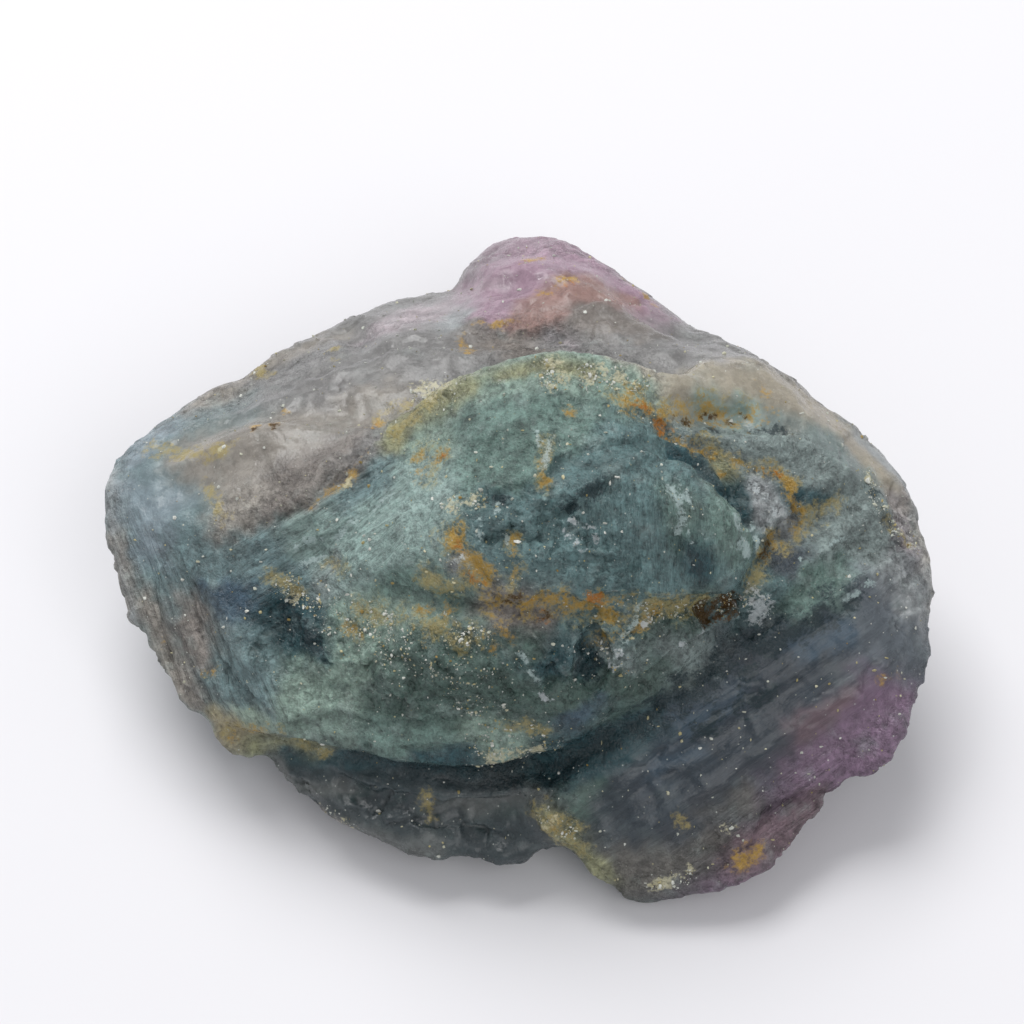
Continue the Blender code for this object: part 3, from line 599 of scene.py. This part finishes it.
# Stains: water ran into the cracks, and left iron there as ochre, rust and brown, and pale crusts of
# carbonate. The darkest one is partly a band of darker glassy fluorite along the edge of the cleavage,
# and partly painted shade in the undercuts, cracks, pits and notches.
STAINS = {
    "dark_band_and_shade": [
        (2.2, [(560, 766), (616, 738), (662, 706), (703, 680), (770, 642), (824, 612), (850, 594)]),
        (1.2, [(400, 768), (440, 772), (490, 768), (545, 762)]), (1.4, [(584, 645), (588, 670)]),
        (1.1, [(281, 606), (296, 600)]), (1.6, [(500, 778), (560, 776)]), (0.9, [(870, 486), (876, 496)]),
        (0.6, [(488, 501), (508, 499)]), (0.6, [(702, 430), (740, 431), (783, 429)]),
        (1.1, [(690, 545), (698, 572)]), (1.2, [(565, 508), (604, 482)]), (1.4, [(280, 620), (320, 648)]),
        (1.4, [(700, 730), (770, 690)]),
    ],
    "olive": [
        (1.1, [(150, 450), (200, 452), (228, 446)]), (0.9, [(206, 482), (226, 516)]),
        (0.9, [(382, 420), (404, 405)]), (1.3, [(404, 428), (436, 396)]),
        (0.7, [(280, 730), (300, 744), (324, 750)]), (1.9, [(543, 818), (580, 846)]),
        (1, [(350, 622), (352, 640)]), (0.6, [(884, 515), (912, 545)]), (0.9, [(590, 640), (604, 632)]),
        (0.8, [(226, 736), (256, 728)]), (0.9, [(264, 365), (268, 378)]), (0.8, [(335, 348), (336, 358)]),
        (1.1, [(270, 580), (300, 590)]), (0.8, [(425, 800), (430, 815)]), (0.8, [(675, 815), (680, 825)]),
        (1.5, [(430, 575), (450, 590)]), (1, [(330, 560), (345, 570)]),
        (2, [(500, 602), (545, 602), (600, 608), (660, 606), (715, 602)]),
        (1.6, [(620, 398), (660, 410), (740, 410)]), (1.3, [(700, 440), (740, 462), (786, 482)]),
        (1.4, [(830, 502), (798, 522), (776, 545), (748, 592)]), (1.7, [(448, 530), (470, 570), (500, 600)]),
        (1.2, [(512, 545), (516, 590)]), (1.6, [(424, 455), (432, 478)]), (1, [(548, 440), (546, 480)]),
        (1.4, [(360, 610), (420, 620), (470, 640)]), (0.7, [(505, 722), (545, 730)]), (2.4, [(-20, 12, 9)]),
        (2.4, [(10, 20, 9)]), (2.4, [(26, 4, 9)]),
    ],
    "ochre": [
        (1.1, [(420, 478), (424, 462), (444, 454)]), (0.8, [(548, 452), (547, 478)]),
        (0.7, [(566, 408), (572, 414)]), (1.3, [(450, 528), (460, 546), (478, 566), (498, 600)]),
        (0.9, [(512, 545), (514, 575)]), (1.6, [(505, 606), (545, 598), (572, 604), (612, 606)]),
        (0.9, [(425, 608), (460, 606)]), (0.8, [(494, 650), (492, 636), (504, 630), (508, 642)]),
        (0.7, [(420, 640), (422, 652)]), (0.7, [(350, 626), (352, 638)]),
        (1.4, [(640, 412), (668, 425), (700, 420)]), (0.8, [(661, 434), (687, 446), (710, 458), (720, 476)]),
        (0.8, [(734, 460), (767, 475), (785, 485)]), (0.9, [(786, 490), (797, 515), (780, 538), (766, 558)]),
        (0.8, [(763, 386), (770, 400), (768, 420)]), (0.9, [(375, 428), (380, 426)]), (0.7, [(254, 427)]),
        (0.6, [(271, 427)]), (0.6, [(285, 413)]), (0.7, [(366, 448), (345, 481), (311, 507)]),
        (0.7, [(163, 636), (166, 648)]), (0.9, [(236, 740), (262, 728)]), (1.2, [(732, 862), (756, 852)]),
        (0.7, [(880, 678), (898, 674)]), (0.8, [(480, 322), (500, 326), (516, 318)]),
        (1, [(545, 292), (575, 280)]), (0.8, [(524, 262), (538, 258)]), (0.7, [(625, 280), (660, 310)]),
        (0.8, [(550, 822), (572, 836)]), (0.7, [(460, 340), (466, 352)]), (0.7, [(216, 668), (212, 676)]),
        (0.8, [(600, 640), (660, 610)]), (1.8, [(632, 406), (660, 416), (700, 414), (742, 422)]),
        (1.6, [(-12, 17, 7), (-8, 19, 9)]), (1.6, [(20, 9, 6), (25, 4, 7)]),
        (1.6, [(-24, -4, 5), (-20, -8, 4)]),
    ],
    "rust": [
        (0.7, [(458, 543), (462, 550)]), (0.6, [(484, 588), (496, 602)]), (0.8, [(540, 606), (544, 624)]),
        (0.8, [(588, 595), (600, 600)]), (0.6, [(470, 572), (480, 580)]),
        (0.9, [(650, 420), (672, 430), (662, 434)]), (0.6, [(634, 408), (648, 414)]),
        (0.6, [(752, 470), (774, 478)]), (0.9, [(706, 604), (732, 600), (724, 620)]), (0.4, [(366, 748)]),
        (0.5, [(548, 458), (547, 464)]), (0.5, [(441, 456)]), (0.5, [(377, 427)]),
        (0.7, [(556, 290), (575, 284)]), (0.6, [(768, 552), (774, 544)]), (0.5, [(768, 412)]),
        (1, [(-10, 18, 8)]), (1, [(23, 6, 7)]),
    ],
    "umber": [
        (0.6, [(672, 420), (686, 423)]), (0.5, [(706, 416), (722, 420), (740, 420)]),
        (1.7, [(708, 612), (722, 606), (732, 596)]), (0.8, [(722, 600), (740, 598)]),
        (0.7, [(766, 556), (772, 548)]), (0.5, [(508, 603), (520, 596)]), (1.4, [(716, 600), (724, 612)]),
        (0.4, [(545, 615)]), (0.35, [(254, 428)]), (0.35, [(272, 428)]),
    ],
    # Pale spalls: partly fresh broken faces, partly a painted sheen on frosted patches.
    "spall_and_sheen": [
        (1.6, [(750, 600), (762, 613)]), (0.6, [(684, 644), (702, 632)]), (0.6, [(566, 538), (586, 550)]),
        (0.6, [(620, 652), (611, 668)]), (0.5, [(752, 484), (758, 500)]), (0.5, [(452, 560), (462, 554)]),
        (0.5, [(770, 500), (778, 512)]), (0.4, [(535, 690), (548, 700)]), (0.5, [(640, 622), (652, 616)]),
        (0.4, [(566, 520), (590, 530), (600, 550)]),
    ],
    "fibre": [
        (0.5, [(672, 488), (676, 532)]), (0.4, [(684, 486), (691, 540)]), (0.5, [(736, 512), (745, 556)]),
        (0.3, [(748, 510), (757, 550)]), (0.25, [(700, 500), (706, 540)]), (0.3, [(500, 505), (506, 545)]),
        (0.3, [(480, 520), (484, 550)]), (0.3, [(548, 428), (550, 470)]), (0.25, [(538, 430), (541, 466)]),
        (0.4, [(300, 548), (345, 528), (392, 492)]), (0.3, [(285, 572), (330, 552)]),
        (0.35, [(620, 640), (640, 600)]), (0.35, [(540, 680), (520, 655)]), (0.3, [(806, 560), (850, 540)]),
        (0.3, [(840, 600), (880, 578)]),
    ],
    "cream": [
        (1.6, [(426, 392), (436, 388), (446, 390)]), (1.5, [(545, 366), (550, 380)]),
        (1.1, [(452, 504), (482, 505)]), (1, [(587, 378), (594, 374)]), (1, [(606, 374), (622, 380)]),
        (0.5, [(224, 447)]), (1, [(490, 758), (520, 752), (536, 752)]), (0.6, [(346, 482)]),
        (0.7, [(545, 826), (552, 822)]), (0.9, [(655, 886), (682, 876)]), (0.6, [(726, 828), (736, 826)]),
        (0.7, [(295, 602), (286, 596)]), (0.9, [(318, 815), (350, 826)]), (0.5, [(866, 478), (872, 484)]),
    ],
}
RAGGEDNESS = 0.32
STAIN_BEND = 0.35
STAIN_RIM = 0.25
ragged = clouds(places, 1.2, 31)
moved = places + STAIN_BEND * wobble
for stain, strokes in STAINS.items():
    cover = covered(moved, strokes)
    cover += RAGGEDNESS * ragged * np.clip(cover / STAIN_RIM, 0, 1)
    stone.data.attributes.new(stain, "FLOAT", "POINT").data.foreach_set("value", cover)

# Where the skin is worn smooth: its top, which hands and water reach, and the flat cleaved faces.
WORN = [
    (7, [(180, 470), (300, 420), (420, 350)]), (6, [(480, 290), (600, 290), (700, 350)]),
    (4, [(700, 390), (800, 400), (880, 470)]), (6, [(640, 800), (760, 720), (880, 640)]),
    (4, [(300, 790), (420, 810), (520, 830)]), (9, [(0, 24, 8), (-15, 18, 8)]), (8, [(15, 17, 8)]),
]

# Where grit and dust have gathered, in creases and along edges.
DUSTY = [
    (1.6, [(426, 392), (446, 388)]), (1.2, [(545, 366), (552, 384)]), (1.2, [(587, 378), (640, 382)]),
    (1.2, [(452, 504), (484, 506)]), (1.4, [(452, 632), (482, 640)]),
    (1.3, [(390, 656), (440, 668), (484, 676)]), (1.6, [(458, 700), (490, 712)]),
    (2.2, [(488, 755), (540, 748)]), (1.6, [(290, 590), (332, 606)]), (1.6, [(330, 620), (400, 630)]),
    (1.4, [(480, 740), (540, 735)]), (1.2, [(866, 478), (880, 494)]), (1.4, [(884, 515), (910, 545)]),
    (1, [(700, 604), (740, 600)]), (1, [(318, 812), (350, 824)]), (1, [(655, 886), (684, 876)]),
    (1, [(545, 818), (570, 834)]), (1.2, [(620, 610), (690, 606)]), (1.2, [(600, 650), (640, 668)]),
]
ZONE_STROKES = {
    "cleavage_grain": CLEAVAGE, "slope_grain": LOBE_SLOPE, "swell_grain": SWELL_FACE, "left_grain": LEFT_FACE,
    "hackly": HACKLY, "worn": WORN, "dusty": DUSTY,
}
ZONE_GAIN = 1.8
zones = {}
for name, strokes in ZONE_STROKES.items():
    zones[name] = eased(covered(places, strokes) * ZONE_GAIN)
    stone.data.attributes.new(name, "FLOAT", "POINT").data.foreach_set("value", zones[name])

# The bands are cloudy. Clear dark windows look into the stone, most of them on its hackly parts, and
# milky veils lie under its skin, fewer where it is worn. Both begin at a height of their clouds, are full
# a span above it, and then take a share of the colour.
GLASS_COLOUR, MILK_COLOUR = "#243d3d", "#9aa7a4"
FINE_CLOUD, BROAD_CLOUD, WORN_CLOUD_LOSS = 0.1, 0.07, 0.5
WINDOW_SHARE, WINDOW_BEGINS, WINDOW_SPAN, WINDOWS_ELSEWHERE = 0.42, 0.5, 1.9, 0.1
VEIL_SHARE, VEIL_BEGINS, VEIL_SPAN, WORN_VEIL_LOSS = 0.24, 0.3, 2.3, 0.6
cloudy = FINE_CLOUD * ragged + BROAD_CLOUD * clouds(places, 3.2, 43)
lightness = 1 + cloudy * (1 - WORN_CLOUD_LOSS * zones["worn"])
body = band_colours * lightness[:, None]
windows = WINDOW_SHARE * eased((clouds(places, 1.5, 59) - WINDOW_BEGINS) / WINDOW_SPAN)
windows *= WINDOWS_ELSEWHERE + (1 - WINDOWS_ELSEWHERE) * zones["hackly"]
veils = VEIL_SHARE * eased((clouds(places, 1.8, 67) - VEIL_BEGINS) / VEIL_SPAN)
veils *= 1 - WORN_VEIL_LOSS * zones["worn"]
for share, hex_colour in ((windows, GLASS_COLOUR), (veils, MILK_COLOUR)):
    body += share[:, None] * (np.array(linear(hex_colour)) - body)
painted = stone.data.attributes.new("body_colour", "FLOAT_COLOR", "POINT")
painted.data.foreach_set("color", np.clip(body, 0, 1).astype(np.float32).ravel())


def node(tree, kind, inputs=None, output=0, **settings):
    """Adds a node with its settings and its inputs, values or other nodes' outputs, and gives an output."""
    made = tree.nodes.new("ShaderNode" + kind)
    for name, value in settings.items():
        setattr(made, name, value)
    for socket, value in (inputs or {}).items():
        if isinstance(value, bpy.types.NodeSocket):
            tree.links.new(value, made.inputs[socket])
        else:
            made.inputs[socket].default_value = value
    return made.outputs[output]


# Raw fluorite, broken and handled: its skin is frosted by countless tiny cleavage steps, so it has a
# soft waxy sheen with small glints, and light goes a millimetre or two into it. Its stains are ragged.
MIX_FACTOR, MIX_A, MIX_B, MIX_RESULT = 0, 6, 7, 2
VECTOR_FACTOR, VECTOR_A, VECTOR_B, VECTOR_RESULT = 0, 4, 5, 1
FLUORITE_IOR = 1.434

fluorite = bpy.data.materials.new("frosted_banded_fluorite")
fluorite.use_nodes = True
tree = fluorite.node_tree
surface = tree.nodes["Principled BSDF"]
where = node(tree, "TexCoord", output="Object")
spot = node(tree, "VectorMath", {0: where, 1: (1 / MM,) * 3}, operation="MULTIPLY")
hackly = node(tree, "Attribute", output="Fac", attribute_name="hackly")
worn = node(tree, "Attribute", output="Fac", attribute_name="worn")

# Fine grain, in lumps of a third of a millimetre and less.
FINE_PER_MM = 3.2
fine = node(tree, "TexNoise", {"Vector": spot, "Scale": FINE_PER_MM, "Detail": 3, "Roughness": 0.75})

# Brushed-looking streaks run along each kind of break: direction, length and width in millimetres. The
# real ones are about half as wide, and are drawn coarser to show. Elsewhere the grain has no direction.
GRAINS = {
    "cleavage_grain": (CLEAVAGE_GRAIN, 7, 0.4), "slope_grain": (SLOPE_GRAIN, 4.5, 0.35),
    "swell_grain": (SWELL_GRAIN, 1.6, 0.28), "left_grain": (LEFT_GRAIN, 4.5, 0.4),
}
ELSEWHERE_PER_MM = 1.4
grain = node(tree, "VectorMath", {0: spot, 1: (ELSEWHERE_PER_MM,) * 3}, operation="MULTIPLY")
for name, (direction, length, width) in GRAINS.items():
    turn = Vector(direction).to_track_quat("X", "Z").to_euler()
    inputs = {"Vector": spot, "Rotation": turn, "Scale": (length, width, width)}
    drawn_out = node(tree, "Mapping", inputs, vector_type="TEXTURE")
    zone = node(tree, "Attribute", output="Fac", attribute_name=name)
    inside = node(tree, "Math", {0: zone, 1: 0.5}, operation="GREATER_THAN")
    inputs = {VECTOR_FACTOR: inside, VECTOR_A: grain, VECTOR_B: drawn_out}
    grain = node(tree, "Mix", inputs, VECTOR_RESULT, data_type="VECTOR")
streaks = node(tree, "TexNoise", {"Vector": grain, "Scale": 1, "Detail": 3, "Roughness": 0.7})

# Tiny flat faces left by the break, about half a millimetre wide, each tilted its own way.
CHIP_SIZE = 0.5
centre = node(tree, "TexVoronoi", {"Vector": spot, "Scale": 1 / CHIP_SIZE}, output="Position")
lots = centre.node.outputs["Color"]
local = node(tree, "VectorMath", {0: spot, 1: centre}, operation="SUBTRACT")
tilt = node(tree, "VectorMath", {0: lots, 1: (0.5,) * 3}, operation="SUBTRACT")
chips = node(tree, "VectorMath", {0: local, 1: tilt}, operation="DOT_PRODUCT", output="Value")
# Each tiny face gets its own lightness at random: painted light and shade, as if each face caught the light
# its own way.
chip_light_and_shade = node(tree, "SeparateColor", {0: lots})

# What makes the colours lighter and darker: the fine grain, and the faces with their painted light and shade,
# less where the skin is worn, and the streaks, whose share is given for fresh and for worn skin.
FINE_SHADE, CHIP_LIGHT_AND_SHADE, STREAK_SHADES = 1.4, 0.34, (1.8, 0.7)
WORN_LEFT = 0.16
OWN_LIGHTNESS = 0.99
smoothing = node(tree, "MapRange", {0: worn, 1: 0, 2: 1, 3: 1, 4: WORN_LEFT})
streak_share = node(tree, "MapRange", {0: worn, 1: 0, 2: 1, 3: STREAK_SHADES[0], 4: STREAK_SHADES[1]})
lightness = 0.0
for lightener, amount in ((fine, FINE_SHADE), (chip_light_and_shade, CHIP_LIGHT_AND_SHADE)):
    uneven = node(tree, "Math", {0: lightener, 1: 0.5}, operation="SUBTRACT")
    lightness = node(tree, "Math", {0: uneven, 1: amount, 2: lightness}, operation="MULTIPLY_ADD")
lightness = node(tree, "Math", {0: lightness, 1: smoothing, 2: OWN_LIGHTNESS}, operation="MULTIPLY_ADD")
uneven = node(tree, "Math", {0: streaks, 1: 0.5}, operation="SUBTRACT")
lightness = node(tree, "Math", {0: uneven, 1: streak_share, 2: lightness}, operation="MULTIPLY_ADD")
grey = node(tree, "CombineColor", {0: lightness, 1: lightness, 2: lightness})
body = node(tree, "Attribute", output="Color", attribute_name="body_colour")
inputs = {MIX_FACTOR: 1, MIX_A: body, MIX_B: grey}
colour = node(tree, "Mix", inputs, MIX_RESULT, data_type="RGBA", blend_type="MULTIPLY")

# The stains, with the cover at which each begins and is full, and how much of the stone it then hides.
STAIN_LOOKS = {
    # The darkest stain: a dark band, and painted shade in the undercuts and cracks.
    "dark_band_and_shade": ("#172a2f", 0.2, 1, 0.85),
    "olive": ("#9a8c58", 0.05, 1.35, 0.78),
    "ochre": ("#a4843c", 0.25, 1.6, 0.95),
    "rust": ("#a0601f", 0.45, 1.5, 0.85),
    "umber": ("#422d08", 0.15, 0.8, 0.95),
    # The pale spalls: fresh broken faces, partly a painted sheen.
    "spall_and_sheen": ("#bcc3c5", 0.25, 0.9, 0.85),
    "fibre": ("#a3b4b3", 0.1, 0.8, 0.85),
    "cream": ("#bdb89b", 0.4, 1.1, 0.8),
}
EDGE_GRAIN = 3.4
edge = node(tree, "Math", {0: fine, 1: EDGE_GRAIN, 2: -EDGE_GRAIN / 2}, operation="MULTIPLY_ADD")
for stain, (hex_colour, begins, full, strength) in STAIN_LOOKS.items():
    cover = node(tree, "Attribute", output="Fac", attribute_name=stain)
    near = node(tree, "MapRange", {0: cover, 1: 0, 2: STAIN_RIM, 3: 0, 4: 1})
    share = node(tree, "Math", {0: edge, 1: near, 2: cover}, operation="MULTIPLY_ADD")
    inputs = {0: share, 1: begins, 2: full, 3: 0, 4: strength}
    amount = node(tree, "MapRange", inputs, interpolation_type="SMOOTHSTEP")
    inputs = {MIX_FACTOR: amount, MIX_A: colour, MIX_B: linear(hex_colour)}
    colour = node(tree, "Mix", inputs, MIX_RESULT, data_type="RGBA")

# White specks, a tenth of a millimetre wide, partly dust and partly painted glints: many on the rough parts,
# few on the worn ones.
SPECK_STEP = 0.36
SPECK_AND_GLINT_COLOUR = "#c3c7c1"
SPECK_RIM, SPECK_CORE, SPECK_STRENGTH = 0.2, 0.08, 0.8
SPECKLESS, SPECKLESS_ON_HACKLY, DUSTY_MORE = 0.965, 0.88, 0.42
cells = node(tree, "TexVoronoi", {"Vector": spot, "Scale": 1 / SPECK_STEP}).node
inputs = {0: cells.outputs["Distance"], 1: SPECK_RIM, 2: SPECK_CORE, 3: 0, 4: SPECK_STRENGTH}
round_speck = node(tree, "MapRange", inputs)
lot = node(tree, "SeparateColor", {0: cells.outputs["Color"]})
rarity = node(tree, "MapRange", {0: hackly, 1: 0, 2: 1, 3: SPECKLESS, 4: SPECKLESS_ON_HACKLY})
dusty = node(tree, "Attribute", output="Fac", attribute_name="dusty")
rarity = node(tree, "Math", {0: dusty, 1: -DUSTY_MORE, 2: rarity}, operation="MULTIPLY_ADD")
drawn = node(tree, "Math", {0: lot, 1: rarity}, operation="GREATER_THAN")
specks_and_glints = node(tree, "Math", {0: round_speck, 1: drawn}, operation="MULTIPLY")
inputs = {MIX_FACTOR: specks_and_glints, MIX_A: colour, MIX_B: linear(SPECK_AND_GLINT_COLOUR)}
colour = node(tree, "Mix", inputs, MIX_RESULT, data_type="RGBA")

tree.links.new(colour, surface.inputs["Base Color"])
STREAK_LOW, STREAK_HIGH = 0.35, 0.65
GLOSSY, FROSTED = 0.18, 0.36
gloss = node(tree, "MapRange", {0: streaks, 1: STREAK_LOW, 2: STREAK_HIGH, 3: GLOSSY, 4: FROSTED})
tree.links.new(gloss, surface.inputs["Roughness"])
surface.inputs["IOR"].default_value = FLUORITE_IOR
surface.inputs["Metallic"].default_value = 0
surface.inputs["Subsurface Weight"].default_value = 0.3
surface.inputs["Subsurface Radius"].default_value = (1.0, 1.1, 1.05)
surface.inputs["Subsurface Scale"].default_value = 1.2 * MM

# Its finest relief, in millimetres: the tiny faces stand out on the hackly parts, streaks on the others.
CHIP_SLOPE, CHIP_SLOPE_ON_HACKLY = 0.27, 0.9
STREAK_HEIGHT, FINE_HEIGHT = 0.32, 0.24
faces_share = node(tree, "MapRange", {0: hackly, 1: 0, 2: 1, 3: CHIP_SLOPE, 4: CHIP_SLOPE_ON_HACKLY})
relief = node(tree, "Math", {0: chips, 1: faces_share}, operation="MULTIPLY")
relief = node(tree, "Math", {0: streaks, 1: STREAK_HEIGHT, 2: relief}, operation="MULTIPLY_ADD")
relief = node(tree, "Math", {0: fine, 1: FINE_HEIGHT, 2: relief}, operation="MULTIPLY_ADD")
bump = node(tree, "Bump", {"Strength": smoothing, "Distance": MM, "Height": relief})
tree.links.new(bump, surface.inputs["Normal"])

stone.data.materials.clear()
stone.data.materials.append(fluorite)
set_places(stone.data, places * MM)
stone.data.shade_smooth()
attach(stone, "root")
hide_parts("fluorite")

# Grit: crumbs of the stone itself and of the pale rock it grew in, caught in its creases and pits and
# strewn over it. Each crumb is a small sharp lump, white, cream or ochre, sunk a little into the skin.
GRIT_SEED = 4
GRIT_COUNT = 3600
GRIT_SIZES = (0.035, 0.13)
GRIT_MORE = [(4, [(340, 640), (440, 660), (520, 680), (640, 640)]), (3, [(300, 600), (480, 560), (600, 540)])]
EVEN_SHARE, MORE_SHARE, CROWD_SHARE = 0.12, 0.7, 7
CROWD_GAIN, CROWD_PATCHES, MORE_PATCHES = 1.5, (0.8, 0.35, 2.4), (1.4, 0.6, 1.8)
STEEP_SHARE = 0.35
SMALL_BIAS, PALE_BIAS = 3, 1.4
STRETCH, JOLT = (0.45, 1.1), (0.6, 0.8)

chance = np.random.default_rng(GRIT_SEED)
stone.data.calc_loop_triangles()
corners = np.empty(len(stone.data.loop_triangles) * 3, np.int32)
stone.data.loop_triangles.foreach_get("vertices", corners)
corners = corners.reshape(-1, 3)
a, b, c = (places[corners[:, i]] for i in range(3))
spans = np.cross(b - a, c - a)
areas = np.linalg.norm(spans, axis=1) / 2
upward = spans[:, 2] / np.maximum(2 * areas, TINY)
middles = (a + b + c) / 3


def patches(places, looks, seed):
    """Patches with bare ground between them: size in millimetres, and how full and how sharp they are."""
    size, fullness, sharpness = looks
    return eased(fullness + sharpness * swells(places, size, seed))


crowd = eased(covered(middles, DUSTY) * CROWD_GAIN) * patches(middles, CROWD_PATCHES, 91)
more = eased(covered(middles, GRIT_MORE)) * patches(middles, MORE_PATCHES, 97)
density = (EVEN_SHARE + MORE_SHARE * more + CROWD_SHARE * crowd) * (STEEP_SHARE + np.clip(upward, 0, 1))
odds = areas * density
chosen = chance.choice(len(odds), GRIT_COUNT, p=odds / odds.sum())
sizes = GRIT_SIZES[0] + (GRIT_SIZES[1] - GRIT_SIZES[0]) * chance.random(GRIT_COUNT) ** SMALL_BIAS
tints = chance.random(GRIT_COUNT) ** PALE_BIAS

# Larger chips: size in millimetres, and the pixel each one shows at.
CHIPS = [
    (0.45, (347, 474)), (0.4, (364, 536)), (0.35, (231, 571)), (0.3, (261, 562)), (0.5, (481, 490)),
    (0.55, (641, 452)), (0.5, (610, 483)), (0.45, (617, 477)), (0.45, (583, 513)), (0.45, (517, 542)),
    (0.4, (536, 556)), (0.5, (731, 421)), (0.4, (842, 445)), (0.55, (868, 481)), (0.5, (379, 812)),
    (0.45, (412, 821)), (0.45, (731, 828)), (0.4, (738, 836)), (0.5, (673, 882)), (0.5, (660, 886)),
    (0.4, (175, 518)), (0.35, (237, 499)), (0.45, (224, 447)), (0.5, (552, 372)), (0.55, (434, 390)),
    (0.4, (444, 386)), (0.45, (590, 376)), (0.4, (607, 373)), (0.5, (478, 505)), (0.4, (286, 600)),
    (0.3, (602, 606)), (0.35, (520, 290)), (0.35, (606, 300)), (0.35, (554, 256)), (0.3, (471, 347)),
    (0.3, (537, 349)), (0.3, (366, 363)),
]

CHIP_SHRINK = 0.4
CHIP_TINT = 0.2
lump_maker = bmesh.new()
bmesh.ops.create_icosphere(lump_maker, subdivisions=1, radius=1)
lump = np.array([vert.co for vert in lump_maker.verts])
lump_faces = np.array([[vert.index for vert in face.verts] for face in lump_maker.faces])
lump_maker.free()

weights = chance.dirichlet((1, 1, 1), GRIT_COUNT)[:, :, None]
crumbs = weights[:, 0] * a[chosen] + weights[:, 1] * b[chosen] + weights[:, 2] * c[chosen]
crumbs = np.concatenate([crumbs, [on_stone(pixel) for _, pixel in CHIPS]])
sizes = np.concatenate([sizes, [CHIP_SHRINK * size for size, _ in CHIPS]])
tints = np.concatenate([tints, CHIP_TINT * chance.random(len(CHIPS))])
count = len(crumbs)
stretch = sizes[:, None] * (STRETCH[0] + STRETCH[1] * chance.random((count, 3)))
jolts = JOLT[0] + JOLT[1] * chance.random((count, len(lump), 1))
lumps = crumbs[:, None, :] + lump * stretch[:, None, :] * jolts
faces = lump_faces + len(lump) * np.arange(count)[:, None, None]
grit_mesh = bpy.data.meshes.new("grit")
grit_mesh.from_pydata(lumps.reshape(-1, 3).tolist(), [], faces.reshape(-1, 3).tolist())
grit_tint = grit_mesh.attributes.new("tint", "FLOAT", "POINT")
grit_tint.data.foreach_set("value", np.repeat(tints, len(lump)))
grit = bpy.data.objects.new("grit", grit_mesh)
scene.collection.objects.link(grit)
set_places(grit_mesh, fitted(mesh_places(grit_mesh), cad_box) * MM)

# Pale carbonate and quartz grit: dull and chalky, from white through cream to iron-stained ochre.
chalk = bpy.data.materials.new("chalky_grit")
chalk.use_nodes = True
tree = chalk.node_tree
tint = node(tree, "Attribute", output="Fac", attribute_name="tint")
shade = node(tree, "ValToRGB", {"Fac": tint})
ramp = shade.node.color_ramp
ramp.elements[0].color = linear("#d0d1ca")
ramp.elements[1].color = linear("#93793c")
for position, hex_colour in ((0.35, "#b4b8ad"), (0.65, "#bcb592"), (0.88, "#a19769")):
    ramp.elements.new(position).color = linear(hex_colour)
MOTTLES_PER_MM = 8
where = node(tree, "TexCoord", output="Object")
mottle = node(tree, "TexNoise", {"Vector": where, "Scale": MOTTLES_PER_MM / MM, "Detail": 3})
mottle = node(tree, "MapRange", {0: mottle, 1: 0.3, 2: 0.7, 3: 0.75, 4: 1.1})
grey = node(tree, "CombineColor", {0: mottle, 1: mottle, 2: mottle})
inputs = {MIX_FACTOR: 1, MIX_A: shade, MIX_B: grey}
colour = node(tree, "Mix", inputs, MIX_RESULT, data_type="RGBA", blend_type="MULTIPLY")
surface = tree.nodes["Principled BSDF"]
tree.links.new(colour, surface.inputs["Base Color"])
CHALK_ROUGHNESS, CHALK_IOR = 0.6, 1.5
surface.inputs["Roughness"].default_value = CHALK_ROUGHNESS
surface.inputs["IOR"].default_value = CHALK_IOR
grit_mesh.materials.append(chalk)
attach(grit, "root")

# The setting: a plain pale table top under soft light that comes from above and behind, a little from
# the left, so that the stone's upper faces are light and its front is in soft shade.
TABLE_SIDE = 3
TABLE_DROP = 0.01
PAPER_ROUGHNESS = 0.8
ROOM_STRENGTH = 0.47
bpy.ops.mesh.primitive_plane_add(size=TABLE_SIDE, location=(0, 0, -TABLE_DROP * MM))
table_top = bpy.context.object
table_top.name = "table_top"
paper = bpy.data.materials.new("matt_white_paper")
paper.use_nodes = True
paper.node_tree.nodes["Principled BSDF"].inputs["Base Color"].default_value = linear("#e2e1e4")
paper.node_tree.nodes["Principled BSDF"].inputs["Roughness"].default_value = PAPER_ROUGHNESS
table_top.data.materials.append(paper)

# Each light's place and side in metres, and its power in watts.
LIGHTS = {
    "sky_light": ((-0.16, 0.42, 0.6), 0.5, 5.1),
    "room_light": ((0.3, -0.5, 0.7), 0.6, 2.1),
}
for name, (place, size, power) in LIGHTS.items():
    lamp_data = bpy.data.lights.new(name, "AREA")
    lamp_data.size = size
    lamp_data.energy = power
    lamp = bpy.data.objects.new(name, lamp_data)
    lamp.location = place
    lamp.rotation_euler = Vector(place).to_track_quat("Z", "Y").to_euler()
    scene.collection.objects.link(lamp)
world = bpy.data.worlds.new("room")
world.use_nodes = True
world.node_tree.nodes["Background"].inputs["Color"].default_value = linear("#f4f5f8")
world.node_tree.nodes["Background"].inputs["Strength"].default_value = ROOM_STRENGTH
scene.world = world
